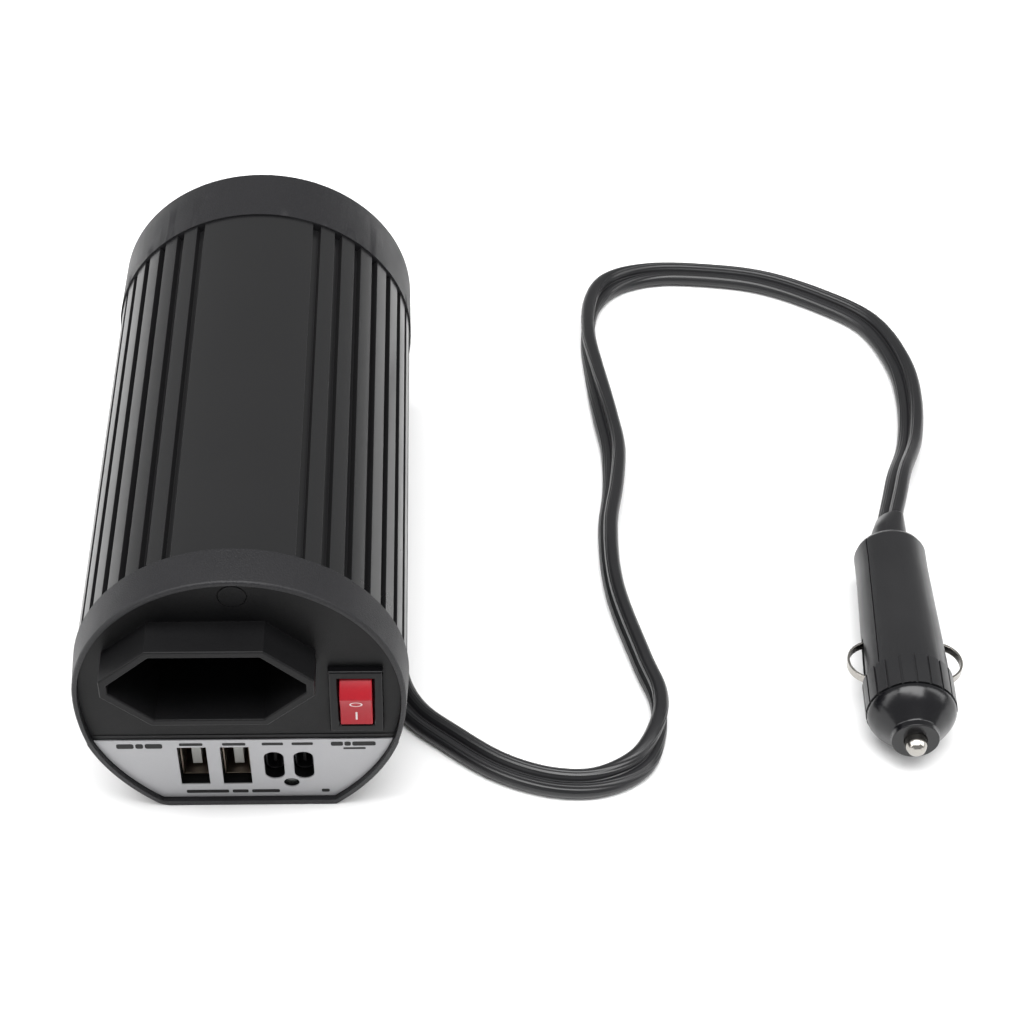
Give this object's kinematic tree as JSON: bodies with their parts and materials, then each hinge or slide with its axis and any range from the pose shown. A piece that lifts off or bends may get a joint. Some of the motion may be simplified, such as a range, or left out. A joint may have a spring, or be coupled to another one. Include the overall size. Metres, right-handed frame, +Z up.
{
  "type": "power inverter",
  "caption": "Can-shaped car power inverter: finned aluminium tube, plastic end caps, two-pin outlet, rocker switch, charging ports and a flat lead with a 12 V socket plug.",
  "frame": {"origin": "on the base plane, under the middle of the body's box (lead, strain relief and plug left out)", "axes": "+Z up, +Y along the body from the outlet face to the vented rear cap, +X to the right seen from the outlet face"},
  "size_m": [0.1868, 0.1855, 0.0665],
  "materials": {
    "anodised_tube": "black anodised, satin",
    "cap_plastic": "fine spark texture, matt black",
    "panel_plastic": "smooth satin, charcoal black",
    "label_face": "silver-grey printed film",
    "insert_plastic": "matt black",
    "brass": "stamped",
    "switch_black": "gloss black nylon",
    "rocker_red": "translucent red, satin gloss",
    "tinned_metal": "tinned",
    "port_shell": "nickel plated",
    "port_shell_dark": "dark plated",
    "port_tongue": "off-white nylon",
    "led_lens": "smoked clear, unlit",
    "circuit_board": "solder mask",
    "ferrite": "sintered",
    "winding_tape": "polyester tape",
    "capacitor_sleeve": "shrink sleeve",
    "copper_wire": "enamelled copper",
    "bare_aluminium": "extruded",
    "fan_plastic": "moulded black",
    "screw_black": "black oxide",
    "lead_rubber": "soft PVC, satin",
    "plug_plastic": "satin black",
    "plug_gloss": "gloss black",
    "nickel": "nickel plated",
    "fuse_glass": "clear glass with plated ends"
  },
  "bodies": {
    "case": {"tube": "anodised_tube", "front_bezel": "cap_plastic", "front_panel": "panel_plastic", "port_label": "label_face", "panel_cover": "panel_plastic", "rear_cap": "cap_plastic", "socket_insert": "insert_plastic", "socket_contact_left": "brass", "socket_contact_right": "brass", "switch_housing": "switch_black", "switch_terminals": "tinned_metal", "usb_a_shell_1": "port_shell", "usb_a_shell_2": "port_shell", "usb_a_tongue_1": "port_tongue", "usb_a_tongue_2": "port_tongue", "usb_c_shell_1": "port_shell_dark", "usb_c_shell_2": "port_shell_dark", "usb_c_tongue_1": "insert_plastic", "usb_c_tongue_2": "insert_plastic", "status_led": "led_lens", "port_board": "circuit_board", "main_board": "circuit_board", "transformer_core": "ferrite", "transformer_winding": "winding_tape", "input_capacitors": "capacitor_sleeve", "output_capacitor": "capacitor_sleeve", "choke": "copper_wire", "power_transistors": "insert_plastic", "heat_bar": "bare_aluminium", "fan_frame": "fan_plastic", "fan_screws": "screw_black", "front_screws": "tinned_metal", "rear_screws": "screw_black", "cord_relief": "lead_rubber", "cord": "lead_rubber", "plug_boot": "lead_rubber", "plug_shell_left": "plug_plastic", "plug_shell_right": "plug_plastic", "fuse": "fuse_glass", "tip_spring": "nickel"},
    "rocker": {"switch_rocker": "rocker_red"},
    "fan": {"fan_rotor": "fan_plastic"},
    "nose": {"plug_nose": "plug_gloss"},
    "ring": {"plug_ring": "plug_plastic"},
    "tip": {"plug_tip": "nickel"},
    "contact_left": {"plug_contact_left": "nickel"},
    "contact_right": {"plug_contact_right": "nickel"}
  },
  "joints": [
    {"name": "rocker_tilt", "type": "hinge", "parent": "case", "child": "rocker", "pos_m": [0.02235, -0.0573, 0.0335], "axis": [-1, 0, 0], "range_deg": [0, 26]},
    {"name": "fan_spin", "type": "hinge", "parent": "case", "child": "fan", "pos_m": [0, 0.058, 0.034], "axis": [0, 1, 0], "continuous": true},
    {"name": "nose_out", "type": "slide", "parent": "case", "child": "nose", "axis": [-0.0384, -0.9993, 0], "range_m": [0, 0.003]},
    {"name": "ring_turn", "type": "hinge", "parent": "nose", "child": "ring", "pos_m": [0.13556, -0.03847, 0.0094], "axis": [-0.0384, -0.9993, 0], "range_deg": [0, 1080]},
    {"name": "tip_press", "type": "slide", "parent": "nose", "child": "tip", "axis": [0.0384, 0.9993, 0], "range_m": [0, 0.0028], "stiffness_N_per_m": 900, "deforming": ["tip_spring"]},
    {"name": "contact_left_press", "type": "slide", "parent": "case", "child": "contact_left", "axis": [0.9993, -0.0384, 0], "range_m": [0, 0.0015], "stiffness_N_per_m": 1500},
    {"name": "contact_right_press", "type": "slide", "parent": "case", "child": "contact_right", "axis": [-0.9993, 0.0384, 0], "range_m": [0, 0.0015], "stiffness_N_per_m": 1500}
  ],
  "couplings": [
    {"joint": "ring_turn", "follows": "nose_out", "rad_per_m": 6283.2}
  ]
}
